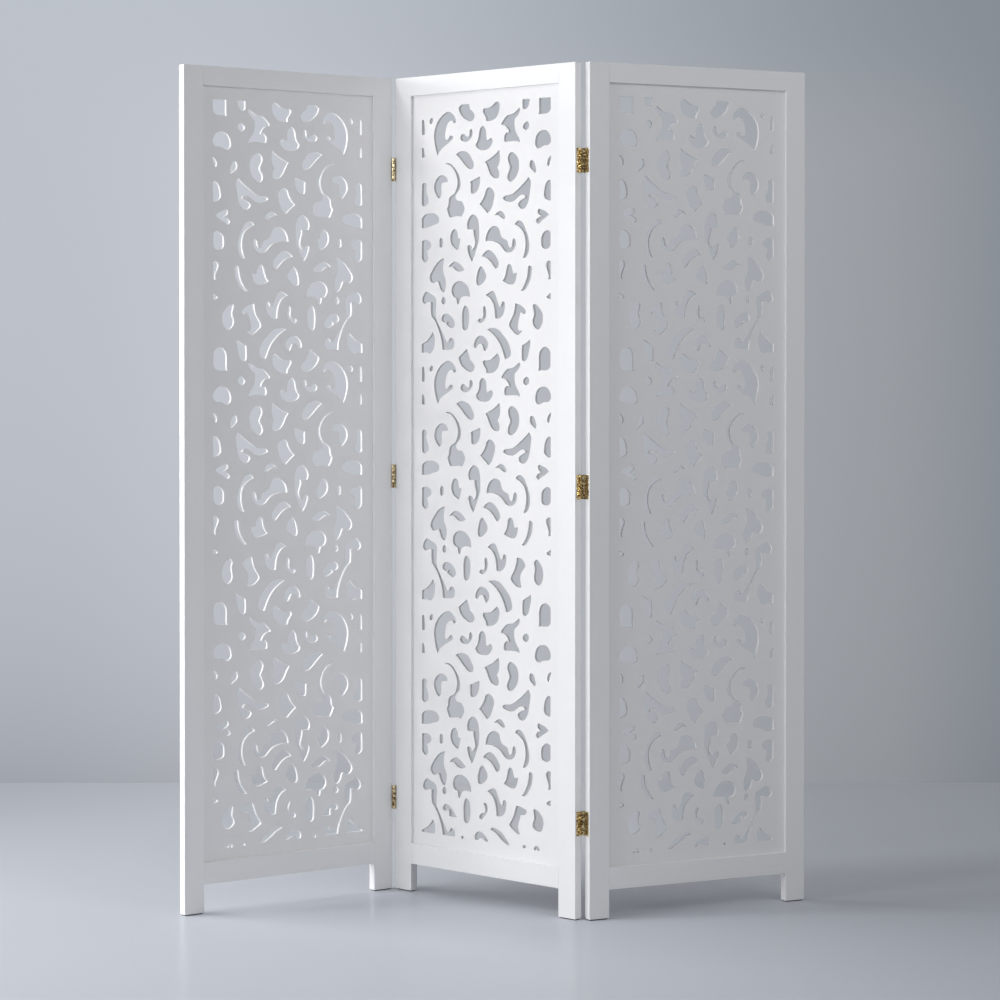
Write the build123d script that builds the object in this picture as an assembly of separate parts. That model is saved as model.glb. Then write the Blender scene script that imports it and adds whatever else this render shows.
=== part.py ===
from build123d import *
import os
from math import ceil

# A three-panel folding screen. Each panel is a frame of two stiles, which run down as legs, and two
# rails, dowelled together round a thin board that is pierced all over with scroll-shaped openings.
# Brass butt hinges join the panels: their pins stand in front of the left joint and behind the right
# one, so the screen folds in a zigzag.
# Millimetres. X runs to the right along the screen, Y away from the viewer and Z up. The origin is on
# the floor, under the middle of the standing screen.

# ---- the frames ----
panel_height = 1700.0
panel_width = 498.0
frame_depth = 19.0  # front to back, of stiles and rails
stile_width = 44.5
top_rail_width = 39.0
bottom_rail_width = 43.5
leg_height = 58.5  # floor to the underside of the bottom rail
arris = 0.8  # radius of the eased edges
pad_thickness = 2.0  # felt pads glued under the legs
pad_inset = 2.5  # wood left bare round a pad
pad_corner = 2.0

# ---- the dowelled corners ----
dowel_diameter = 8.0
dowel_length = 40.0
dowel_fit = 0.05  # gap all round the dowel
dowel_end_gap = 0.5  # glue space beyond each end
dowel_places = (0.25, 0.75)  # up the width of the rail

# ---- the pierced board ----
board_thickness = 6.0
groove_depth = 8.0
groove_fit = 0.1  # gap on each face of the board in its groove
groove_end_gap = 0.3  # room for the board to swell at its sides and top
border_width = 26.0  # plain board between the frame and the pierced field

# ---- how the screen stands: each panel's turn from a straight row, degrees ----
left_turn = 36.0
centre_turn = 42.4
right_turn = 25.8

# ---- the hinges ----
hinge_height = 48.0
# The middle of each hinge: the upper ones hang from the top of the frame, the others stand on the floor.
left_hinge_levels = {"upper": panel_height - 190.0, "middle": 868.0, "lower": 194.0}
right_hinge_levels = {"upper": panel_height - 194.0, "middle": 859.0, "lower": 191.0}
leaf_thickness = 1.3
leaf_gap = 0.4  # between the two leaves of a closed hinge
leaf_margin = 3.5  # stile edge left bare beyond the leaf
knuckle_diameter = 7.0
knuckle_count = 5
knuckle_gap = 0.2  # between knuckles
knuckle_stand_off = 0.75  # between the knuckles and the face of the frame
pin_diameter = 3.2
pin_fit = 0.05  # gap all round the pin
pin_dome = 0.8  # the rounded pin end beyond the last knuckle
pin_head_share = 0.9  # of the knuckle's diameter
screws_per_leaf = 3
screw_length = 16.0
screw_diameter = 2.8
screw_head_diameter = 5.4
screw_tip_share = 0.25  # of the shank's diameter
screw_fit = 0.05
screw_sink = 0.1  # the head lies this far below the leaf
screw_stagger = 2.5  # the middle screws stand this far towards the pin
cross_width = 0.6  # the slots of the screw heads
cross_span = 3.0
cross_depth = 0.7

# ---- the pierced pattern ----
# One repeat is drawn as seen on the centre panel from the front: x from the left side of the pierced
# field, y up from the foot of the repeat. A round opening is a smooth loop through its points. A
# cornered opening is a list of strokes: each is a smooth line from its own first point through the
# others to the first point of the next stroke, so the strokes meet in corners.
pattern_pitch = 513.0  # height of one repeat on the board
pattern_lead = 10.0  # foot of the topmost, cut-off repeat below the top of the field
smallest_opening = 15.0  # square millimetres: a cut-off remnant below this stays solid
drawn_repeat = (357.0, 513.0)  # width and height of the repeat as drawn below
# Some rows are drawn less evenly than the rest. By row, counted from the cut-off one at the top:
# heights in the drawn repeat, each with the shift of the openings there sideways and upward.
row_shifts = {
    0: [(1, 0, 0), (18, 0, -7), (35, 0, 12), (513, 0, 0)],
    1: [(0, -4, 0), (210, -4, 0), (370, -1, 0), (513, 0, 0)],
    3: [(20, 0, -6), (28, 0, 14), (114, 0, 14), (164, 0, 7), (204, 0, 3), (244, -3, -1),
        (284, -4, -6), (354, -3, -5), (489, -1, -4), (513, 0, 0)],
}

round_openings = [
    [(22, 494), (25, 499), (29, 501), (32, 497), (31, 491), (27, 488), (23, 489)],
    [(282.5, 469), (286, 475), (292, 478), (297.5, 476), (299.5, 470), (297, 464), (291, 461),
     (285, 463.5)],
    [(336, 458.5), (348, 456), (356, 446), (357, 434), (351, 428.5), (338, 427), (325, 422.5), (317, 427),
     (316, 440), (323, 453.5)],
    [(110, 455), (113, 461), (119, 462.8), (126, 458), (132, 456), (135.5, 460), (135.5, 467),
     (139, 471.5), (143.5, 468), (144, 459), (138, 451.5), (130, 447), (119, 447), (112, 450)],
    [(254, 418.5), (263, 414), (270, 405), (272.5, 392), (270.5, 379), (264, 368), (256, 361.5),
     (247, 359.5), (241.5, 365), (244, 379), (248, 388), (244, 398), (242, 409), (246, 416)],
    [(306, 400), (312, 397), (316, 389), (318.5, 380), (316, 374.5), (309, 379), (302.5, 384.5),
     (301.5, 395)],
    [(357, 406.5), (352, 403), (348, 396), (348, 388.5), (351, 385.5), (354, 391), (357, 399)],
    [(53, 249), (57, 251.5), (61, 249.5), (62.5, 241), (61, 233), (57, 231), (53, 233), (52, 241)],
    [(170, 190), (164, 184), (160, 173), (158, 160), (161, 151.5), (169, 152), (179, 158), (185.5, 168),
     (183, 178), (176, 187)],
    [(65, 129.5), (69, 126), (70, 119), (67, 114.5), (62, 114.5), (58.5, 119), (60, 126)],
    [(127, 110.5), (133, 107), (137, 98), (138, 85), (136.5, 72), (132, 61.5), (126, 59.5), (121, 62),
     (118.5, 73), (118, 86), (119, 99), (122, 107)],
    [(180, 109), (177, 104), (178, 92), (174.5, 84), (168, 84), (163, 79), (167, 75), (176, 76.5),
     (183.5, 84), (186, 96), (184, 106)],
    [(313.5, 107), (320, 111), (328, 105), (335, 94), (337.5, 80), (333, 66), (325, 59.5), (318, 62),
     (312, 74), (313.5, 84), (314, 96)],
    [(151, 27), (154, 38), (162, 46.5), (172, 48.5), (183, 44), (190.5, 33), (188.5, 23.5), (181, 17),
     (176.5, 25), (171, 32), (164, 30.5), (155, 23.5)],
]

cornered_openings = [
    [[(0, 467)], [(0, 497), (4, 498.5), (8, 489), (9.5, 476)], [(9, 467)]],
    [[(45.5, 420.5), (38, 441), (35, 462), (40, 483), (52, 499), (66, 508), (78, 510.5), (90, 504),
      (96, 496)], [(97, 487)], [(91, 486.5), (85, 492), (76, 488), (69.5, 477), (67, 463), (69.5, 453.5),
      (75, 454), (79, 459), (86, 461), (89.5, 457), (83, 450), (70, 443), (56, 434.5)]],
    [[(128, 535), (117, 526.5)], [(105, 518), (108, 507.5), (118, 496), (131, 489), (143, 488.5),
      (149.5, 497), (145, 506)], [(137, 512), (134, 522)]],
    [[(175, 511.5), (186, 511.5), (197, 514.5), (206, 521.5)], [(212, 525.5), (218, 519), (218, 506),
      (210, 491.5), (197, 485.5)], [(181, 485.5), (180, 494), (174, 502), (172.5, 508)]],
    [[(223.5, 478), (231, 486.5), (240, 493.5), (253, 495.5), (264, 501)], [(273, 508), (274.5, 500),
      (268, 491)], [(260.5, 485), (260, 472), (264, 458), (271, 448)], [(275, 437), (264, 440.5),
      (248, 440.5)], [(233, 440.5), (231.5, 448), (234, 456)], [(245, 458), (240, 468), (232, 474)],
      [(225, 474.5)]],
    [[(0, 419.5)], [(0, 440), (3, 440), (7.5, 432.5)], [(11, 420)]],
    [[(184.5, 446), (182.5, 458), (180.5, 469), (172, 475.5), (164.5, 470), (162, 457), (159, 448)],
      [(153.5, 441), (156, 433), (164, 428.5), (182, 427), (191, 430), (198, 438), (200, 446),
      (196, 450.5), (190, 448)]],
    [[(98, 421.5), (108, 426.5), (122, 427), (134, 421.5), (143, 410), (148, 399), (145.5, 391),
      (136, 390), (126, 396), (113, 409)]],
    [[(179, 402.5), (192, 408), (205, 415)], [(218, 425.5), (220.5, 412), (218.5, 398)], [(213, 389),
      (218.5, 378), (217, 369), (205, 368.5), (195, 375.5), (187, 390)]],
    [[(68, 402.5), (74, 405), (86, 402), (98, 391.5), (107, 379), (111.5, 364), (109.5, 350.5),
      (102, 342.5), (97.5, 334), (104, 326.5), (113, 325.5), (120, 318), (123, 310), (119.5, 300)],
      [(114, 292.5), (104, 294.5), (92, 293.5)], [(81, 292.5), (76, 302)], [(73, 311), (77.5, 321),
      (79, 331), (84, 336.5), (93, 341), (100, 351), (103, 364), (100.5, 377), (94, 389), (84, 398.5)]],
    [[(74.5, 366.5)], [(59, 365), (56.5, 352), (55.5, 338), (51, 333), (42, 340), (36.5, 350),
      (36.5, 363), (43, 374), (53, 380), (64, 380), (71, 375.5)]],
    [[(0, 362), (5, 367), (12, 366), (13, 353), (17, 338), (18.5, 326), (13, 320), (5, 319)], [(0, 322)]],
    [[(165.5, 374), (152, 368.5)], [(138.5, 364), (140, 352), (143, 339.5), (150, 339.5), (158, 344),
      (163.5, 353)]],
    [[(165, 317), (174, 326.5), (180, 337), (184, 346.5), (192, 350), (201, 346), (206.5, 336),
      (204, 322), (197, 306)], [(186.5, 297.5), (176, 308)]],
    [[(229.5, 328.5), (234, 331), (248, 332.5), (261, 337.5), (275, 347), (287, 356)], [(298.5, 367),
      (305, 356), (303, 340), (300, 323), (294, 310), (284, 303), (274, 306), (270.5, 313), (277, 320)],
      [(289.5, 325.5), (286, 331), (277, 330.5), (267, 324.5), (256, 319), (244, 319)], [(229.5, 324.5)]],
    [[(357, 317)], [(357, 358), (350, 357.5), (342.5, 349), (339.5, 337), (339.5, 325.5), (346, 319.5)]],
    [[(0, 273)], [(0, 292), (8, 300), (20, 303), (34, 303), (45, 298), (50, 288.5), (47, 283), (36, 279),
      (20, 274.5)]],
    [[(134, 266.5), (131.5, 276), (137, 290), (148, 296.5), (158, 292), (163.5, 281), (165.5, 262),
      (165, 245), (159, 228), (152, 211)], [(145, 199.5), (138, 211), (133, 224), (133, 233), (139, 234)],
      [(144, 224.5), (151, 229.5), (154, 237), (152, 249), (149.5, 258)], [(150, 266)]],
    [[(206.5, 291), (215, 298.5), (224, 301), (232, 296.5)], [(237.5, 286), (231, 285), (222, 290)]],
    [[(333, 287.2), (327, 289.6), (322.5, 296), (325, 301.5), (333, 300), (343, 296.5)], [(352, 289),
      (342, 282), (332, 276.5), (322.5, 272), (318.5, 277), (321.5, 282.5), (327, 285.4)]],
    [[(0, 212)], [(0, 245), (5, 248), (15, 248), (24, 243.5), (27, 236), (23, 230)], [(15, 226.5),
      (17, 217), (18, 208.5), (11, 202.5), (4, 205)]],
    [[(105.5, 250.5), (104, 260), (98, 268), (90, 265.5), (85, 257), (84, 246), (89, 235), (98, 228),
      (104, 225.5), (109, 233)], [(113, 247)]],
    [[(183, 240.5), (187, 257.5), (197, 268), (209, 271), (220, 265.5), (225, 252), (233, 244.5),
      (242, 241), (247, 229.5), (251, 226.5), (255.5, 231.5), (257.5, 241.5), (261.5, 245), (266, 239),
      (265, 228.5), (257, 219), (246, 216.5), (236, 219.5), (226, 230), (212, 238)]],
    [[(262.5, 272), (273, 280), (282, 277), (291, 264), (298, 249), (301.5, 233), (300, 216), (294, 207)],
      [(284, 204), (290, 220), (291, 238), (287, 253.5), (278, 264)]],
    [[(357, 229)], [(357, 253), (350, 258), (341, 255.5), (333.5, 248), (332, 236), (334, 225),
      (342, 221), (351, 222)]],
    [[(173.5, 210), (182, 219), (194, 222.5), (206, 216.5), (216, 205), (220, 193), (217, 186.5)],
      [(209.5, 185), (201, 195.5), (190, 205)]],
    [[(66, 209.5), (54, 206), (42, 197), (31, 184), (24.5, 170), (29, 160.5), (39, 159), (47, 162),
      (50.5, 156), (55, 145.5)], [(65, 139), (70, 150), (69.5, 165), (64, 178), (62.5, 192)]],
    [[(79, 189.5), (87, 198), (98, 201.5), (109, 198)], [(124, 184.5), (118, 181.5), (102, 182.5),
      (92, 190)]],
    [[(230, 159.5), (237, 169), (240.5, 181), (244, 191), (250, 193), (256, 185)], [(260, 173)],
      [(269, 175), (267, 163), (260, 152.5), (252, 151.5)]],
    [[(279, 138.5), (289, 139.5), (299, 150.5), (306, 163), (308.5, 177), (307, 187), (301, 188.5),
      (298, 180), (295, 164), (288, 150)]],
    [[(357, 160)], [(357, 196), (350, 197), (345.5, 193), (348, 178)], [(350, 160)]],
    [[(102, 127), (93, 130), (88.5, 139), (91, 151), (100, 159), (112, 161.5), (125, 157), (134, 149),
      (139, 138)], [(140, 128), (126, 130), (115, 126.5), (110, 117), (106, 112.5), (103.5, 117)]],
    [[(27.5, 117.5), (20, 119), (10, 116), (3.5, 121), (5, 132), (15, 141), (24, 138), (33, 134),
      (40, 129), (43, 115), (41.5, 99), (42, 89), (49, 74), (59, 58), (67, 46)], [(73, 36), (78, 37.5),
      (82, 43.5), (89, 44), (94, 34), (91, 24), (82, 20.5)], [(60, 19.5), (58, 38), (51, 58), (41, 77)],
      [(28.5, 90.5), (27, 104)]],
    [[(75, 78), (67, 76.5), (60, 80), (60.5, 89), (68, 94.5), (78, 94), (88, 88), (95, 79), (96, 69),
      (91, 65), (80, 67.5)], [(72, 73.5)]],
    [[(185, 130.5), (196, 137.5), (205, 138.5), (213, 127), (219, 114)], [(222, 107.5), (227, 109.5),
      (230, 117.5), (235, 117), (237, 106), (233, 92), (224, 84.5)], [(210, 84), (208.5, 101),
      (202, 118)]],
    [[(265.5, 112), (275, 112.5), (285, 106), (289, 98), (283, 89), (276.5, 80), (275.5, 67)],
      [(278.5, 52.5), (268, 53.5), (256, 60), (249, 70), (255, 81), (262, 95)]],
    [[(345.5, 126)], [(357, 133)], [(357, 120)], [(348, 122)]],
    [[(0, 13.5)], [(0, 32.5), (14, 39), (24, 47.5)], [(31.5, 57.5), (37.5, 44), (37, 30), (31, 17.5)],
      [(22.5, 12.5), (18, 14)]],
    [[(188, 61), (201, 64), (217, 61.5), (232, 50), (245, 36), (252, 21), (251.5, 7), (245, 2.5)],
      [(237, 1), (232, 14), (224, 30), (210, 46.5)]],
    [[(304, 40.5), (293, 33)], [(282, 28), (281, 12)], [(282, -1), (289, -3.5), (296, 1), (300, 12),
      (304, 26)]],
    [[(324.5, -23), (326, -5), (327, 12), (334, 22), (343, 25), (352, 21.5)], [(357, 11)], [(357, -13),
      (352, -19.5), (341, -22)]],
]

# Openings that a row draws otherwise: by row, each under the first point of the one it stands for.
redrawn = {
    1: {
        (313.5, 107): [
            (312.5, 111), (319.5, 110), (329.5, 102), (336, 93), (337.5, 81), (333.5, 68), (325.5, 60),
            (318, 62), (311.5, 69), (309.5, 77), (313, 87), (312.5, 99)],
        (265.5, 112): [
            [(264, 113.5), (272, 112), (282.5, 107.5), (290.5, 101.5), (293, 94.5), (289.5, 91),
             (284, 93.5)], [(278.5, 94), (277, 87.5), (274, 79.5), (272, 69.5), (272, 62.5), (274.5, 58.5)],
            [(281.5, 59.5)], [(283.5, 57), (277.5, 52.5), (272, 49.5), (264, 52), (256, 58.5), (248, 67.5),
             (249, 74.5), (255, 84), (261, 95), (263, 104)]],
    },
    3: {
        (313.5, 107): [
            (312.5, 108.5), (320.5, 106.5), (331.5, 98.5), (337.5, 87), (337, 75), (331.5, 65.5), (322, 64),
            (312.5, 68.5), (308.5, 74), (312, 86.5), (312, 98.5)],
        (180, 109): [
            (176.5, 106.5), (181.5, 106), (185.5, 100), (185.5, 93), (182, 84.5), (175.5, 77.5), (166, 72),
            (162.5, 75), (164, 80.5), (171.5, 85), (178, 88), (179, 94.5), (177, 100)],
        (151, 27): [
            (150, 30.5), (150.5, 39), (156, 44.5), (163, 46.5), (171.5, 44.5), (180, 39), (186.5, 28),
            (182, 27.5), (177, 30.5), (171.5, 33), (164.5, 32.5), (159, 28.5), (153.5, 27)],
        (265.5, 112): [
            [(264.5, 110), (273.5, 110), (284, 107), (292.5, 102), (290, 95.5), (284, 93)], [(276, 92),
             (273.5, 83), (270, 72.5), (270, 63.5)], [(275.5, 53.5), (268, 53), (259.5, 57.5), (251.5, 62.5),
             (245.5, 68.5), (248, 74.5), (255, 85), (259.5, 96)]],
        (188, 61): [
            [(193.5, 54), (198, 57.5), (205, 58.5), (214.5, 55.5), (224, 51.5), (233.5, 43), (242, 35)],
            [(248, 27.5)], [(238, 28), (229.5, 32.5), (220, 38.5), (209, 47.5), (200.5, 51.5)]],
        (75, 78): [
            [(60, 82.5), (62, 89), (68.5, 92.5), (76, 91.5), (84.5, 86), (91.5, 78.5)], [(100, 69.5),
             (91.5, 68)], [(78.5, 69), (78, 76), (76, 82), (73, 82.5), (70.5, 79.5), (66.5, 78.5),
             (62.5, 79.5)]],
    },
}

# Small round openings at the foot of the lowest repeat alone, drawn in the same way.
foot_openings = [
    [(111.5, 43), (114.5, 46), (118, 45), (118.5, 41.5), (115, 39.5), (112, 40.5)],
    [(282, 42.5), (285.5, 46.5), (289.5, 46), (290, 42.5), (286.5, 40), (283, 40.5)],
    [(312, 41.5), (314, 46.5), (319, 49), (324.5, 46.5), (327.5, 41), (324.5, 39), (319.5, 42),
     (314.5, 39)],
]

# ---- sizes that follow ----
panel_gap = 2 * leaf_thickness + leaf_gap  # between the stiles of two panels in line
pin_stand_off = knuckle_stand_off + knuckle_diameter / 2  # pin axis from the face of the frame
leaf_cover = frame_depth - leaf_margin  # the part of the leaf that lies on the stile
groove_width = board_thickness + 2 * groove_fit
opening_foot = leg_height + bottom_rail_width
opening_top = panel_height - top_rail_width
field_left = stile_width + border_width
field_width = panel_width - 2 * field_left
field_foot = opening_foot + border_width
field_top = opening_top - border_width
screw_row = leaf_cover / 2  # outer screws from the face of the frame
screw_pitch = hinge_height / screws_per_leaf


def slab(x_range, y_range, z_range):
    """A box between the given limits."""
    size = [high - low for low, high in (x_range, y_range, z_range)]
    middle = [(high + low) / 2 for low, high in (x_range, y_range, z_range)]
    return Pos(*middle) * Box(*size)


def rod_along_x(start, length, radius, y, z):
    """A cylinder along X that begins at x = start."""
    return Pos(start + length / 2, y, z) * Rot(0, 90, 0) * Cylinder(radius, length)


def ease_long_edges(bar, axis):
    """Round the four long edges of a bar."""
    return fillet(bar.edges().filter_by(axis), arris)


def ease_all_edges(bar):
    return fillet(bar.edges(), arris)


# ---- frame ----
def dowel_levels(low, high):
    """Heights of the two dowels in a rail, in the solid wood beside its groove."""
    return [low + (high - low) * share for share in dowel_places]


dowel_heights = dowel_levels(leg_height, opening_foot - groove_depth)
dowel_heights += dowel_levels(opening_top + groove_depth, panel_height)
groove_span = (frame_depth / 2 - groove_width / 2, frame_depth / 2 + groove_width / 2)


def dowel_holes(face_x, direction):
    """Blind holes for half a dowel each, from the joint face into the wood at its right or left."""
    depth = dowel_length / 2 + dowel_end_gap
    start = face_x if direction > 0 else face_x - depth
    radius = dowel_diameter / 2 + dowel_fit
    return [rod_along_x(start, depth, radius, frame_depth / 2, z) for z in dowel_heights]


def screw_pattern():
    """For each screw of a leaf: its depth under the face of the frame and its height from the middle."""
    pattern = []
    for index in range(screws_per_leaf):
        row = screw_row if index % 2 == 0 else screw_row - screw_stagger
        pattern.append((row, (index - (screws_per_leaf - 1) / 2) * screw_pitch))
    return pattern


def pilot_holes(hinge_face, levels):
    """Holes for the hinge screws in the outer edge of a left stile; the hinges are at one face of it."""
    holes = []
    for level in levels.values():
        for row, height in screw_pattern():
            y = row if hinge_face == "front" else frame_depth - row
            holes.append(rod_along_x(0, screw_length, screw_diameter / 2 + screw_fit, y, level + height))
    return holes


def left_stile(hinges=None):
    """The stile at the panel's left, with pilot holes where hinges are screwed to its outer edge."""
    bar = ease_all_edges(slab((0, stile_width), (0, frame_depth), (pad_thickness, panel_height)))
    groove_heights = (opening_foot - groove_depth, opening_top + groove_depth)
    bar -= slab((stile_width - groove_depth, stile_width), groove_span, groove_heights)
    bar -= dowel_holes(stile_width, -1)
    if hinges:
        bar -= pilot_holes(*hinges)
    return bar


def right_stile(hinges=None):
    """The same stile, mirrored to the panel's right side."""
    return mirror(left_stile(hinges), about=Plane.YZ.offset(panel_width / 2))


def left_foot_pad():
    """A thin felt pad that lifts a leg's end off the floor."""
    across = (pad_inset, stile_width - pad_inset)
    deep = (pad_inset, frame_depth - pad_inset)
    pad = slab(across, deep, (0, pad_thickness))
    return fillet(pad.edges().filter_by(Axis.Z), pad_corner)


def right_foot_pad():
    return mirror(left_foot_pad(), about=Plane.YZ.offset(panel_width / 2))


def rail(foot, top, groove_heights):
    """A rail between the stiles, grooved for the board and drilled for its dowels."""
    ends = (stile_width, panel_width - stile_width)
    bar = slab(ends, (0, frame_depth), (foot, top))
    bar = ease_long_edges(bar, Axis.X)
    bar -= slab(ends, groove_span, groove_heights)
    bar -= dowel_holes(ends[0], 1) + dowel_holes(ends[1], -1)
    return bar


def top_rail():
    return rail(opening_top, panel_height, (opening_top, opening_top + groove_depth))


def bottom_rail():
    return rail(leg_height, opening_foot, (opening_foot - groove_depth, opening_foot))


def dowels():
    """Eight beech dowels, two across each joint of the frame."""
    pieces = []
    for joint_x in (stile_width, panel_width - stile_width):
        start = joint_x - dowel_length / 2
        for z in dowel_heights:
            pieces.append(rod_along_x(start, dowel_length, dowel_diameter / 2, frame_depth / 2, z))
    return Compound([piece.solid() for piece in pieces])


# ---- pierced board ----
def fitted(points):
    """Points of the drawing, stretched or squeezed to the size of a repeat on the board."""
    across = field_width / drawn_repeat[0]
    along = pattern_pitch / drawn_repeat[1]
    return [(x * across, y * along) for x, y in points]


def round_opening(points):
    return make_face(Spline(*fitted(points), periodic=True))


def cornered_opening(strokes):
    edges = []
    for index, stroke in enumerate(strokes):
        next_corner = strokes[(index + 1) % len(strokes)][0]
        points = fitted(stroke + [next_corner])
        edges.append(Line(*points) if len(points) == 2 else Spline(*points))
    return make_face(edges)


def row_shift(row, middle):
    """How far an opening of this row is moved, from its middle in the repeat."""
    height = middle.Y * drawn_repeat[1] / pattern_pitch
    shifts = row_shifts.get(row, [(0, 0, 0)])
    low = max((s for s in shifts if s[0] <= height), default=shifts[0])
    high = min((s for s in shifts if s[0] > height), default=shifts[-1])
    share = (height - low[0]) / (high[0] - low[0]) if high[0] > low[0] else 0
    sideways, upward = [a + (b - a) * share for a, b in zip(low[1:], high[1:])]
    position = middle.X / field_width
    fade = 4 * position * (1 - position)  # nothing moves sideways at the sides of the field
    return sideways * fade, upward


def pierced_field():
    """Every opening of one panel: the repeats from the top down, cut off by the field's borders."""
    field = Pos(field_left + field_width / 2, (field_foot + field_top) / 2)
    field *= Rectangle(field_width, field_top - field_foot)
    openings = []
    for row in range(ceil((field_top - field_foot) / pattern_pitch) + 1):
        repeat_foot = field_top - pattern_lead - row * pattern_pitch
        own = redrawn.get(row, {})
        repeat = [round_opening(own.get(points[0], points)) for points in round_openings]
        repeat += [cornered_opening(own.get(strokes[0][0], strokes)) for strokes in cornered_openings]
        for opening in repeat:
            sideways, upward = row_shift(row, opening.center())
            placed = Pos(field_left + sideways, repeat_foot + upward) * opening
            box = placed.bounding_box()
            if box.min.Y > field_foot and box.max.Y < field_top:
                openings.append(placed.face())
            elif box.max.Y > field_foot and box.min.Y < field_top:
                openings += (placed & field).faces()
    openings += [Pos(field_left, repeat_foot) * round_opening(points).face() for points in foot_openings]
    return [opening for opening in openings if opening.area > smallest_opening]


def pierced_board():
    """The board as the centre panel has it, upright in its grooves."""
    side = stile_width - groove_depth + groove_end_gap
    low = opening_foot - groove_depth
    high = opening_top + groove_depth - groove_end_gap
    width = panel_width - 2 * side
    outline = Pos(panel_width / 2, (low + high) / 2) * Rectangle(width, high - low)
    sheet = Face(outline.wire(), [opening.outer_wire() for opening in pierced_field()])
    back = (frame_depth + board_thickness) / 2
    return Pos(0, back, 0) * Rot(90, 0, 0) * extrude(sheet, amount=board_thickness)


# ---- hinges ----
def knuckles(first):
    """Height range of every second knuckle, starting at the given one."""
    pitch = hinge_height / knuckle_count
    foot = -hinge_height / 2
    half_gap = knuckle_gap / 2
    spans = []
    for index in range(first, knuckle_count, 2):
        low = foot + index * pitch + (half_gap if index > 0 else 0)
        high = foot + (index + 1) * pitch - (half_gap if index < knuckle_count - 1 else 0)
        spans.append((low, high))
    return spans


def ordered(first, second):
    return (min(first, second), max(first, second))


def leaf(side, depth, first_knuckle):
    """A hinge leaf about its pin; side and depth (1 or -1) lead along X to the wood and along Y over it."""
    plate_x = ordered(side * leaf_gap / 2, side * (leaf_gap / 2 + leaf_thickness))
    knuckle_radius = knuckle_diameter / 2
    plate_y = ordered(depth * (knuckle_radius + knuckle_gap), depth * (pin_stand_off + leaf_cover))
    shape = slab(plate_x, plate_y, (-hinge_height / 2, hinge_height / 2))
    for low, high in knuckles(first_knuckle):
        shape += Pos(0, 0, (low + high) / 2) * Cylinder(knuckle_radius, high - low)
        shape += slab(plate_x, ordered(0, depth * pin_stand_off), (low, high))
    shape -= Cylinder(pin_diameter / 2 + pin_fit, hinge_height)
    for row, height in screw_pattern():
        shape -= Pos(side * leaf_gap / 2, depth * (pin_stand_off + row), height) * screw_seat(side)
    return shape


def pointing(side, shape):
    """Turn a shape that is drawn along +Z so that it points along +X or -X."""
    return Rot(0, 90 * side, 0) * shape


def screw_seat(side):
    """Countersunk hole through a leaf."""
    head_radius = screw_head_diameter / 2 + screw_fit
    shank_radius = screw_diameter / 2 + screw_fit
    cone_height = leaf_thickness - screw_sink
    seat = Pos(0, 0, screw_sink / 2) * Cylinder(head_radius, screw_sink)
    seat += Pos(0, 0, screw_sink + cone_height / 2) * Cone(head_radius, shank_radius, cone_height)
    return pointing(side, seat)


def screw(side):
    """A countersunk screw with a crossed slot, its head at the leaf's outer face."""
    head_radius = screw_head_diameter / 2
    shank_radius = screw_diameter / 2
    cone_height = leaf_thickness - screw_sink
    head = Pos(0, 0, screw_sink + cone_height / 2) * Cone(head_radius, shank_radius, cone_height)
    shank_length = screw_length - cone_height - screw_diameter
    shank_foot = screw_sink + cone_height + shank_length
    body = head + Pos(0, 0, shank_foot - shank_length / 2) * Cylinder(shank_radius, shank_length)
    tip = Cone(shank_radius, shank_radius * screw_tip_share, screw_diameter)
    body += Pos(0, 0, shank_foot + screw_diameter / 2) * tip
    for angle in (45, 135):
        slot = Box(cross_span, cross_width, 2 * cross_depth)
        body -= Pos(0, 0, screw_sink) * Rot(0, 0, angle) * slot
    return pointing(side, body)


def leaf_screws(side, depth):
    pieces = []
    for row, height in screw_pattern():
        place = Pos(side * leaf_gap / 2, depth * (pin_stand_off + row), height)
        pieces.append(place * screw(side))
    return Compound([piece.solid() for piece in pieces])


def hinge_pin():
    """A plain pin with a rounded head on each end knuckle."""
    pin = Cylinder(pin_diameter / 2, hinge_height)
    for end in (-1, 1):
        foot = end * hinge_height / 2
        head = Cone(knuckle_diameter / 2 * pin_head_share, pin_diameter / 2, pin_dome)
        head = head if end > 0 else Rot(180, 0, 0) * head
        pin += Pos(0, 0, foot + end * pin_dome / 2) * head
    return pin


# ---- where the panels stand ----
left_joint_on_centre = (-panel_gap / 2, -pin_stand_off)
left_joint_on_left = (panel_width + panel_gap / 2, -pin_stand_off)
right_joint_on_centre = (panel_width + panel_gap / 2, frame_depth + pin_stand_off)
right_joint_on_right = (-panel_gap / 2, frame_depth + pin_stand_off)


def hung_panel(centre_place, joint_on_centre, joint_on_panel, turn):
    """Place of an outer panel that shares its hinge pins with the centre one."""
    joint = (centre_place * Pos(*joint_on_centre)).position
    return Pos(joint) * Rot(0, 0, turn) * Pos(-joint_on_panel[0], -joint_on_panel[1])


def plan(centre_place):
    return {
        "left": hung_panel(centre_place, left_joint_on_centre, left_joint_on_left, left_turn),
        "centre": centre_place,
        "right": hung_panel(centre_place, right_joint_on_centre, right_joint_on_right, right_turn),
    }


def middle_of_plan(places):
    corners = [(place * Pos(x, y)).position
               for place in places.values() for x in (0, panel_width) for y in (0, frame_depth)]
    middle_x = (min(c.X for c in corners) + max(c.X for c in corners)) / 2
    middle_y = (min(c.Y for c in corners) + max(c.Y for c in corners)) / 2
    return middle_x, middle_y


turned = Rot(0, 0, -centre_turn)
middle_x, middle_y = middle_of_plan(plan(turned))
places = plan(Pos(-middle_x, -middle_y, 0) * turned)

# ---- write the parts ----
os.makedirs("parts", exist_ok=True)


def write(name, shape, place):
    export_step(place * shape, f"parts/{name}.step")


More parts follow.
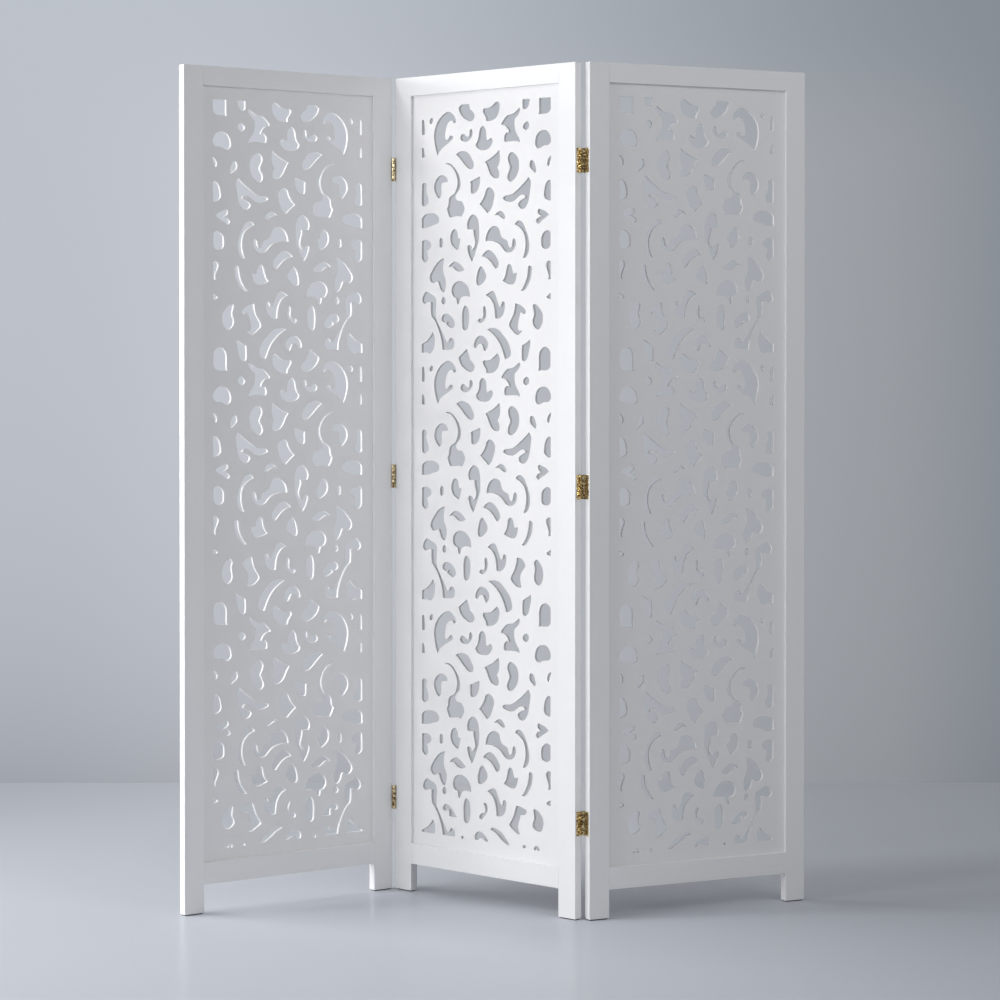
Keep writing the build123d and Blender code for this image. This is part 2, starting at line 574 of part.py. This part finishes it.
board = pierced_board()
mirrored_board = mirror(board, about=Plane.YZ.offset(panel_width / 2))
left_joint_hinges = ("front", left_hinge_levels)
right_joint_hinges = ("back", right_hinge_levels)
panels = {
    "left": (None, left_joint_hinges, mirrored_board),
    "centre": (left_joint_hinges, right_joint_hinges, board),
    "right": (right_joint_hinges, None, mirrored_board),
}
for name, (hinges_at_left, hinges_at_right, panel_board) in panels.items():
    place = places[name]
    write(f"{name}_panel_left_stile", left_stile(hinges_at_left), place)
    write(f"{name}_panel_right_stile", right_stile(hinges_at_right), place)
    write(f"{name}_panel_left_foot_pad", left_foot_pad(), place)
    write(f"{name}_panel_right_foot_pad", right_foot_pad(), place)
    write(f"{name}_panel_top_rail", top_rail(), place)
    write(f"{name}_panel_bottom_rail", bottom_rail(), place)
    write(f"{name}_panel_dowels", dowels(), place)
    write(f"{name}_panel_pierced_board", panel_board, place)

# Each joint: the pin's place on the centre panel and on the one beside it, the side of the pin where
# the centre panel's wood lies, the way from the pin over the edge of the frame, and the hinge levels.
joints = {
    "left": (left_joint_on_centre, left_joint_on_left, 1, 1, left_hinge_levels),
    "right": (right_joint_on_centre, right_joint_on_right, -1, -1, right_hinge_levels),
}
for name, (on_centre, on_panel, side, depth, levels) in joints.items():
    for level_name, level in levels.items():
        centre_pin = places["centre"] * Pos(*on_centre, level)
        panel_pin = places[name] * Pos(*on_panel, level)
        prefix = f"{name}_joint_{level_name}_hinge"
        write(f"{prefix}_centre_leaf", leaf(side, depth, 0), centre_pin)
        write(f"{prefix}_outer_leaf", leaf(-side, depth, 1), panel_pin)
        write(f"{prefix}_pin", hinge_pin(), centre_pin)
        write(f"{prefix}_centre_leaf_screws", leaf_screws(side, depth), centre_pin)
        write(f"{prefix}_outer_leaf_screws", leaf_screws(-side, depth), panel_pin)
    joint = (places["centre"] * Pos(*on_centre)).position
    print(f"{name} joint pin axis at x = {joint.X:.4f}, y = {joint.Y:.4f}")
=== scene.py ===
from math import cos, radians, sin

import bmesh
import bpy
from mathutils import Euler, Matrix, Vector


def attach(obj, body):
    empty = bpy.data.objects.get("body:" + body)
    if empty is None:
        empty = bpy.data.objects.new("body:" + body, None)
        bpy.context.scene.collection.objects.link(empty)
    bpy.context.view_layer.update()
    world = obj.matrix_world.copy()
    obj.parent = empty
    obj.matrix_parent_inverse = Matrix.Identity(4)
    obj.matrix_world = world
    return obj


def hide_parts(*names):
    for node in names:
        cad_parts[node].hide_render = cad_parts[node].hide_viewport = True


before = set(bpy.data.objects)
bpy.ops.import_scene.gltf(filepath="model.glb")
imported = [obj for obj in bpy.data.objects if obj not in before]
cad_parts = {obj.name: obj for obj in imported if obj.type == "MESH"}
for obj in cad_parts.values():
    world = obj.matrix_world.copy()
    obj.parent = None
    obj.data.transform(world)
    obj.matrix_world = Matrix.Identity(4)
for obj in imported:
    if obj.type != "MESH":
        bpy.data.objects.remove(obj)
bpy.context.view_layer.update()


# ---- Stiles and rails ----
# The frames are sawn and planed from light hardwood, their long edges eased, and the stiles run
# down to the floor as legs. All of it is brushed and rolled with white satin enamel, through which
# the grain still shows faintly along each piece.
class Wire:
    """One end of a wire in a finish. Sums on it are the Math nodes that work them out."""

    def __init__(self, finish, socket):
        self.finish = finish
        self.socket = socket

    def maths(self, operation, *numbers):
        return self.finish.add("Math", {"operation": operation}, dict(enumerate(numbers)))

    def __add__(self, other):
        return self.maths("ADD", self, other)

    def __sub__(self, other):
        return self.maths("SUBTRACT", self, other)

    def __rsub__(self, other):
        return self.maths("SUBTRACT", other, self)

    def __mul__(self, other):
        return self.maths("MULTIPLY", self, other)

    __radd__ = __add__
    __rmul__ = __mul__


class Finish:
    """A material, or the light of the room, built up from nodes added with their settings."""

    def __init__(self, name, kind=bpy.data.materials):
        self.material = kind.new(name)
        self.material.use_nodes = True
        self.nodes = self.material.node_tree.nodes
        self.shader = self.nodes.get("Principled BSDF")

    def feed(self, node, values):
        """Sets or wires up the sockets of a node."""
        for name, value in values.items():
            if isinstance(value, Wire):
                self.material.node_tree.links.new(value.socket, node.inputs[name])
            else:
                node.inputs[name].default_value = value

    def add(self, kind, settings, values, out=0):
        """A new node, and the wire from one of its outputs."""
        node = self.nodes.new("ShaderNode" + kind)
        for name, value in settings.items():
            setattr(node, name, value)
        self.feed(node, values)
        return Wire(self, node.outputs[out])

    def place(self, turn=0.0, stretch=(1, 1, 1)):
        """Where a point lies, turned with its panel; a stretch draws out a pattern."""
        where = self.add("TexCoord", {}, {}, out="Object")
        values = {"Vector": where, "Rotation": (0, 0, turn), "Scale": stretch}
        return self.add("Mapping", {"vector_type": "TEXTURE"}, values)

    def along(self, where, axis):
        """How far a point lies along one axis."""
        return self.add("SeparateXYZ", {}, {0: where}, out=axis)

    def mottle(self, where, size, detail=2.0, rough=0.5):
        """Soft cloudy unevenness, from 0 to 1, whose patches are about this size in metres."""
        values = {"Vector": where, "Scale": 1 / size, "Detail": detail, "Roughness": rough}
        return self.add("TexNoise", {"noise_dimensions": "3D"}, values)

    def spread(self, value, span, ends=(0.0, 1.0), ease="LINEAR"):
        """A number stretched from a span to other ends, and held there past the span."""
        names = ("Value", "From Min", "From Max", "To Min", "To Max")
        values = dict(zip(names, (value, *span, *ends)))
        return self.add("MapRange", {"interpolation_type": ease}, values)

    def vary(self, mottle, ends=(0.0, 1.0)):
        """A number between two ends, by a mottle, most of which lies between 0.3 and 0.7."""
        return self.spread(mottle, (0.3, 0.7), ends)

    def slope(self, value, span, ends=(0.0, 1.0)):
        """As a spread, but easing in and out."""
        return self.spread(value, span, ends, "SMOOTHSTEP")

    def blend(self, share, first, second, way="MIX"):
        """A colour between two, or one worked out from both."""
        settings = {"data_type": "RGBA", "blend_type": way}
        return self.add("Mix", settings, {0: share, 6: first, 7: second}, out=2)

    def relief(self, height, depth, under=None):
        """Bumps of this depth in metres, on top of other bumps if there are any."""
        values = {"Height": height, "Distance": depth, "Strength": 1.0}
        if under is not None:
            values["Normal"] = under
        return self.add("Bump", {}, values)


def painted_wood(name, turn, stretch):
    """White satin enamel on planed wood; the grain runs along the stretched direction."""
    finish = Finish(name)
    along = finish.place(turn, stretch)
    plain = finish.place(turn)
    grain = finish.mottle(along, grain_width, detail=4.0, rough=0.6)
    strokes = finish.mottle(along, bristle_width, detail=2.0)
    clouds = finish.mottle(plain, cloud_width, detail=3.0)
    peel = finish.mottle(plain, roller_peel, detail=1.0)
    grain_relief = finish.relief(strokes * 0.6 + grain, grain_depth)
    finish.feed(
        finish.shader,
        {
            "Base Color": finish.blend(
                finish.vary(grain * 0.5 + clouds * 0.5), frame_white, frame_white_thin
            ),
            "Roughness": finish.vary(clouds * 0.6 + strokes * 0.4, satin),
            "Specular IOR Level": paint_gloss,
            "Normal": finish.relief(peel, peel_depth, grain_relief),
        },
    )
    return finish.material


def repainted(node, material):
    """Puts a finish on a piece that keeps its shape."""
    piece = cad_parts[node]
    piece.data.materials.clear()
    piece.data.materials.append(material)


frame_white = (0.885, 0.886, 0.892, 1)
frame_white_thin = (0.865, 0.866, 0.87, 1)  # where the paint lies thinner on the grain
satin = (0.36, 0.5)  # roughness, from the smoothest paint to the dullest
paint_gloss = 0.5
grain_width = 0.0035
grain_length = 25.0  # how far the grain is drawn out along a piece
grain_depth = 0.00006
bristle_width = 0.0012
cloud_width = 0.09
roller_peel = 0.0016
peel_depth = 0.00003
# how far each panel is turned on the floor
panels = {"left": radians(36.0), "centre": radians(-42.4), "right": radians(25.8)}

stile_paint = painted_wood("white_enamel_upright", 0.0, (1, 1, grain_length))
for panel, turn in panels.items():
    rail_paint = painted_wood("white_enamel_" + panel + "_rails", turn, (grain_length, 1, 1))
    for bar in ("left_stile", "right_stile"):
        repainted(panel + "_panel_" + bar, stile_paint)
    for bar in ("top_rail", "bottom_rail"):
        repainted(panel + "_panel_" + bar, rail_paint)


# ---- Dowels ----
# Turned beech dowels, glued into the ends of the rails and the edges of the stiles. They are bare
# wood and show only where the joints are taken apart.
beech_dark = (0.52, 0.33, 0.19, 1)
beech_light = (0.7, 0.5, 0.32, 1)
beech_roughness = (0.55, 0.75)
fibre_width = 0.0008
fibre_depth = 0.0001
fleck_width = 0.003

beech = Finish("bare_beech")
beech_fibre = beech.mottle(beech.place(0.0, (12, 12, 1)), fibre_width, detail=5.0, rough=0.65)
beech_fleck = beech.mottle(beech.place(), fleck_width, detail=3.0)
beech.feed(
    beech.shader,
    {
        "Base Color": beech.blend(
            beech.vary(beech_fibre * 0.7 + beech_fleck * 0.3), beech_dark, beech_light
        ),
        "Roughness": beech.vary(beech_fibre, beech_roughness),
        "Normal": beech.relief(beech_fibre, fibre_depth),
    },
)
for panel in panels:
    repainted(panel + "_panel_dowels", beech.material)


# ---- Foot pads ----
# Dark grey felt, cut from the sheet and glued under every leg to keep it off the floor. Its nap is
# matted and uneven.
felt_dark = (0.02, 0.02, 0.022, 1)
felt_light = (0.06, 0.06, 0.065, 1)
nap_width = 0.0006
nap_depth = 0.0003

felt = Finish("dark_grey_felt")
felt_nap = felt.mottle(felt.place(), nap_width, detail=5.0, rough=0.75)
felt.feed(
    felt.shader,
    {
        "Base Color": felt.blend(felt_nap, felt_dark, felt_light),
        "Roughness": 0.95,
        "Specular IOR Level": 0.15,
        "Normal": felt.relief(felt_nap, nap_depth),
    },
)
for panel in panels:
    for side in ("left", "right"):
        repainted(panel + "_panel_" + side + "_foot_pad", felt.material)


# ---- Pierced boards ----
# Thin fibreboard, cut right through with scroll-shaped openings by a router, its arrises sanded
# off and all of it sprayed white. The cut walls soak up paint, so they stay duller and rougher than
# the faces.
rim_width = 0.00035  # what is sanded off the edges of the openings
rim_corner = radians(40)  # an edge sharper than this is sanded
crease = radians(50)  # an edge sharper than this stays sharp in the light
face_white = (0.88, 0.87, 0.875, 1)
face_white_thin = (0.86, 0.85, 0.855, 1)
wall_white = (0.88, 0.88, 0.885, 1)
wall_white_thirsty = (0.83, 0.83, 0.835, 1)
face_roughness = (0.42, 0.52)
wall_roughness = 0.2  # added on the cut walls
spray_cloud = 0.07
spray_peel = 0.0022
spray_depth = 0.00004
board_fibre = 0.0009
board_fibre_depth = 0.00012


def broken_edges(name, node, width, steepest):
    """A copy of a piece whose sharp edges are sanded off, which stands for it."""
    shape = bmesh.new()
    shape.from_mesh(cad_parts[node].data)
    bmesh.ops.remove_doubles(shape, verts=shape.verts, dist=1e-6)
    sharp = [
        edge
        for edge in shape.edges
        if len(edge.link_faces) == 2 and edge.calc_face_angle() > steepest
    ]
    bmesh.ops.bevel(
        shape,
        geom=sharp,
        offset=width,
        offset_type="OFFSET",
        affect="EDGES",
        segments=1,
        profile=0.5,
        clamp_overlap=True,
        material=-1,
    )
    mesh = bpy.data.meshes.new(name)
    shape.to_mesh(mesh)
    shape.free()
    mesh.shade_smooth()
    mesh.set_sharp_from_angle(angle=crease)
    piece = bpy.data.objects.new(name, mesh)
    bpy.context.scene.collection.objects.link(piece)
    level = piece.modifiers.new("flat faces stay flat", "WEIGHTED_NORMAL")
    level.keep_sharp = True
    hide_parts(node)
    return piece


def sprayed_board(name, turn):
    """White paint sprayed on fibreboard, with thirsty cut walls."""
    finish = Finish(name)
    plain = finish.place(turn)
    facing = finish.add("TexCoord", {}, {}, out="Normal")
    outward = (-sin(turn), cos(turn), 0)
    product = {"operation": "DOT_PRODUCT"}
    straight = finish.add("VectorMath", product, {0: facing, 1: outward}, out="Value")
    cut = 1 - finish.spread(straight * straight, (0.2, 0.8))
    peel = finish.mottle(plain, spray_peel, detail=2.0)
    fibres = finish.mottle(plain, board_fibre, detail=3.0, rough=0.7)
    clouds = finish.mottle(plain, spray_cloud, detail=3.0)
    face = finish.blend(clouds, face_white, face_white_thin)
    wall = finish.blend(fibres, wall_white, wall_white_thirsty)
    face_relief = finish.relief(peel, spray_depth)
    finish.feed(
        finish.shader,
        {
            "Base Color": finish.blend(cut, face, wall),
            "Roughness": finish.vary(clouds, face_roughness) + cut * wall_roughness,
            "Specular IOR Level": paint_gloss,
            "Normal": finish.relief(fibres * cut, board_fibre_depth, face_relief),
        },
    )
    return finish.material


for panel, turn in panels.items():
    board_node = panel + "_panel_pierced_board"
    board = broken_edges(panel + "_board", board_node, rim_width, rim_corner)
    board.data.materials.append(sprayed_board("sprayed_white_" + panel + "_board", turn))
    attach(board, panel + "_panel")


# ---- Hinge leaves ----
# Butt hinges pressed from brass sheet, each leaf rolled round the pin into knuckles. The lacquered
# brass has tarnished golden brown in small blotches between brighter, rubbed places.
leaf_edge = 0.00015
leaf_corner = radians(50)
leaf_bright = (1.0, 0.87, 0.56, 1)
leaf_dull = (0.17, 0.085, 0.025, 1)
leaf_smoothness = 0.18
tarnish_width = 0.0036
tarnish_border = (0.42, 0.59)  # where in its mottle the bright brass passes into the dull
tarnish_roughness = 0.25  # added where the brass is dull
scratch_width = 0.0006
scratch_length = 16
scratch_depth = 0.00003
beaten_width = 0.0055
beaten_depth = 0.0016


def brass(name, bright, dull, smoothness):
    """Brass gone brown in blotches a few millimetres wide, with a beaten, uneven surface."""
    finish = Finish(name)
    plain = finish.place()
    scratched = finish.place(0.0, (1, 1, scratch_length))
    tarnish = finish.mottle(plain, tarnish_width, detail=4.0, rough=0.65)
    scratches = finish.mottle(scratched, scratch_width, detail=3.0)
    beaten = finish.mottle(plain, beaten_width, detail=1.0)
    shade = finish.slope(tarnish, tarnish_border)
    scratched_roughness = finish.vary(scratches, (smoothness, smoothness + 0.1))
    beaten_relief = finish.relief(beaten, beaten_depth)
    finish.feed(
        finish.shader,
        {
            "Base Color": finish.blend(shade, bright, dull),
            "Metallic": 1.0,
            "Roughness": shade * tarnish_roughness + scratched_roughness,
            "Normal": finish.relief(scratches, scratch_depth, beaten_relief),
        },
    )
    return finish.material


leaf_brass = brass("lacquered_brass", leaf_bright, leaf_dull, leaf_smoothness)
joints = {"left": "left_panel", "right": "right_panel"}
levels = ("upper", "middle", "lower")
for joint, outer_body in joints.items():
    for level in levels:
        for side, body in (("centre", "centre_panel"), ("outer", outer_body)):
            leaf_name = joint + "_" + level + "_" + side + "_leaf"
            leaf_node = joint + "_joint_" + level + "_hinge_" + side + "_leaf"
            plate = broken_edges(leaf_name, leaf_node, leaf_edge, leaf_corner)
            plate.data.materials.append(leaf_brass)
            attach(plate, body)


# ---- Hinge pins ----
# Plain brass pins, riveted over in a low dome at both ends and polished by the turning knuckles.
pin_bright = (0.95, 0.82, 0.55, 1)
pin_dull = (0.5, 0.36, 0.16, 1)
pin_smoothness = 0.15

pin_brass = brass("polished_brass", pin_bright, pin_dull, pin_smoothness)
for joint in joints:
    for level in levels:
        repainted(joint + "_joint_" + level + "_hinge_pin", pin_brass)


# ---- Hinge screws ----
# Small countersunk brass screws with crossed slots, three to a leaf.
screw_bright = (0.7, 0.5, 0.24, 1)
screw_dull = (0.14, 0.08, 0.03, 1)
screw_smoothness = 0.25

screw_brass = brass("screw_brass", screw_bright, screw_dull, screw_smoothness)
for joint in joints:
    for level in levels:
        for side in ("centre", "outer"):
            screws = joint + "_joint_" + level + "_hinge_" + side + "_leaf_screws"
            repainted(screws, screw_brass)


# ---- Floor ----
# A wide pale studio floor, painted blue-grey and slightly polished. Painted shade darkens it to the
# right, where the lamps' light falls off, and in the far left corner by the wall; a painted pool of
# light brightens it behind the middle of the screen.
floor_side = 30
floor_pale = (0.592, 0.618, 0.672, 1)
# tones of painted shade and painted light, laid over the floor's own pale blue-grey
floor_painted_falloff = (0.525, 0.55, 0.604, 1)
floor_painted_corner_shade = (0.485, 0.507, 0.551, 1)
floor_painted_middle_light = (0.672, 0.69, 0.735, 1)
floor_cloud = 0.8
# the stretches, in metres, over which those tones come in or go out again
right_span = (0.15, 0.95)
corner_span = (-1.25, -0.82)
corner_back_span = (0.0, 1.2)
middle_left_span = (-0.45, -0.12)
middle_right_span = (0.2, 0.5)
middle_back_span = (0.3, 0.8)


def flat_sheet(name, width, depth, spot, tilt):
    """A flat sheet, set down at its middle and tilted up about the line through it."""
    shape = bmesh.new()
    bmesh.ops.create_grid(shape, x_segments=1, y_segments=1, size=0.5)
    bmesh.ops.scale(shape, vec=(width, depth, 1), verts=shape.verts)
    bmesh.ops.rotate(shape, matrix=Euler((tilt, 0, 0)).to_matrix(), verts=shape.verts)
    bmesh.ops.translate(shape, vec=spot, verts=shape.verts)
    mesh = bpy.data.meshes.new(name)
    shape.to_mesh(mesh)
    shape.free()
    sheet = bpy.data.objects.new(name, mesh)
    bpy.context.scene.collection.objects.link(sheet)
    return sheet


floor_paint = Finish("studio_floor")
floor_where = floor_paint.place()
floor_across = floor_paint.along(floor_where, "X")
floor_back = floor_paint.along(floor_where, "Y")
floor_shade = floor_paint.mottle(floor_where, floor_cloud, detail=3.0) * 0.15
# painted shade: darker to the right, where the lamps' light falls off
floor_shade += floor_paint.slope(floor_across, right_span, (0.0, 0.85))
# painted shade in the far left corner, towards the wall
far_left = floor_paint.spread(floor_across, corner_span, (1.0, 0.0))
far_left *= floor_paint.spread(floor_back, corner_back_span)
# a painted pool of light behind the middle of the screen
painted_middle_light_mask = floor_paint.slope(floor_across, middle_left_span)
painted_middle_light_mask *= floor_paint.slope(floor_across, middle_right_span, (1.0, 0.0))
painted_middle_light_mask *= floor_paint.slope(floor_back, middle_back_span)
floor_tone = floor_paint.blend(floor_shade, floor_pale, floor_painted_falloff)
floor_tone = floor_paint.blend(far_left, floor_tone, floor_painted_corner_shade)
floor_tone = floor_paint.blend(painted_middle_light_mask, floor_tone, floor_painted_middle_light)
floor_paint.feed(
    floor_paint.shader,
    {"Base Color": floor_tone, "Roughness": 0.24, "Specular IOR Level": 0.03},
)
floor = flat_sheet("floor", floor_side, floor_side, (0, 0, 0), 0.0)
floor.data.materials.append(floor_paint.material)


# ---- Backdrop ----
# A plain wall behind the screen, whose light is painted into its own glow: a painted fall-off dims
# it to the right and towards the floor, and painted bounce light from the white screen lies on it.
# The glow lights nothing else, and seen from behind the wall isn't there.
wall_distance = 1.66
wall_width = 24
wall_height = 6.0
wall_left_glow = (0.509, 0.54, 0.598, 1)
wall_right_glow = (0.232, 0.26, 0.291, 1)
# painted bounce light from the white screen
painted_bounce_glow = (0.054, 0.042, 0.035, 1)
dim_height = 0.45  # the darkening near the floor fades by a factor of e over this height
left_dimming = 0.31  # at the floor, on the left
right_gain = 0.16  # how much less it is on the right
# the stretches, in metres, over which each of these comes in or goes out again
wall_span = (-0.9, 1.6)
bounce_left_span = (-1.3, -0.55)
bounce_right_span = (1.0, 1.5)
bounce_top_span = (1.62, 2.05)
lift_left_span = (-0.45, -0.1)
lift_right_span = (0.2, 0.5)

wall_stand = (0, wall_distance, wall_height / 2)
wall = flat_sheet("backdrop", wall_width, wall_height, wall_stand, radians(90))
wall_paint = Finish("studio_wall")
wall_where = wall_paint.add("TexCoord", {}, {}, out="Object")
across = wall_paint.along(wall_where, "X")
upward = wall_paint.along(wall_where, "Z")
to_right = wall_paint.slope(across, wall_span)
fall = upward * (-1 / dim_height)
near_floor = fall.maths("EXPONENT", fall)
behind_screen = wall_paint.slope(across, bounce_left_span)
behind_screen *= wall_paint.slope(across, bounce_right_span, (1.0, 0.0))
behind_screen *= wall_paint.slope(upward, bounce_top_span, (1.0, 0.0))
lifted = wall_paint.slope(across, lift_left_span, (0.1, 0.6))
lifted -= wall_paint.slope(across, lift_right_span, (0.0, 0.35))
# painted shade near the floor, less of it behind the screen
dimming = near_floor * (left_dimming - to_right * right_gain) * (1 - behind_screen * lifted)
# painted fall-off of the light from left to right
glow = wall_paint.blend(to_right, wall_left_glow, wall_right_glow)
glow = wall_paint.blend(behind_screen, glow, painted_bounce_glow, "ADD")
glow = wall_paint.blend(1.0, glow, 1 - dimming, "MULTIPLY")
wall_light = wall_paint.add("Emission", {}, {"Color": glow, "Strength": 1.0})
unseen = wall_paint.add("BsdfTransparent", {}, {})
behind = wall_paint.add("NewGeometry", {}, {}, out="Backfacing")
seen = wall_paint.add("MixShader", {}, {0: behind, 1: wall_light, 2: unseen})
wall_paint.feed(wall_paint.nodes["Material Output"], {"Surface": seen})
wall.data.materials.append(wall_paint.material)
wall.visible_diffuse = False


# ---- Light ----
# Three low soft boxes stand on the left: two light the centre panel and the third grazes the cut
# walls. A high one throws the shadow on the floor, a weak one on the right fills in, and so does
# the pale room, which is dimmer behind the screen.
lamp_aim = Vector((0, 0, 0.85))
room_front = (0.31948, 0.326, 0.33252, 1)
room_rear = (0.1274, 0.13, 0.1326, 1)
room_span = (-0.1, 0.3)


def soft_box(name, bearing, rise, distance, side, watts):
    """A square lamp aimed at the middle of the screen, its bearing in degrees round to the left."""
    turn, lift = radians(bearing), radians(rise)
    away = Vector((-sin(turn) * cos(lift), -cos(turn) * cos(lift), sin(lift)))
    lamp = bpy.data.lights.new(name, "AREA")
    lamp.size = side
    lamp.energy = watts
    holder = bpy.data.objects.new(name, lamp)
    holder.location = lamp_aim + away * distance
    holder.rotation_euler = away.to_track_quat("Z", "Y").to_euler()
    bpy.context.scene.collection.objects.link(holder)


soft_box("far_left_box", bearing=56, rise=8, distance=5.5, side=1.6, watts=97.6)
soft_box("near_left_box", bearing=76, rise=10, distance=2.6, side=1.6, watts=9.3)
soft_box("high_left_box", bearing=78, rise=40, distance=8.0, side=1.4, watts=150.0)
soft_box("rim_box", bearing=100, rise=10, distance=4.0, side=1.6, watts=87.6)
soft_box("right_fill_box", bearing=-40, rise=35, distance=4.0, side=1.6, watts=23.7)

room = Finish("pale_room", bpy.data.worlds)
rearward = room.along(room.add("TexCoord", {}, {}, out="Generated"), "Y")
room_tone = room.blend(room.slope(rearward, room_span), room_front, room_rear)
room.feed(room.nodes["Background"], {"Color": room_tone, "Strength": 1.0})
bpy.context.scene.world = room.material
bpy.context.scene.view_settings.view_transform = "Standard"


# ---- Camera ----
# It stands chest high and well back, and looks down a little.
camera_tilt = 0.5964  # degrees below level

eye = bpy.data.cameras.new("eye")
eye.lens = 101.257
eye.sensor_width = 36.0
eye.shift_y = -0.10762
camera = bpy.data.objects.new("eye", eye)
camera.location = (0.0075715, -5.73496, 1.104631)
camera.rotation_euler = (radians(90 - camera_tilt), 0, 0)
bpy.context.scene.collection.objects.link(camera)
bpy.context.scene.camera = camera
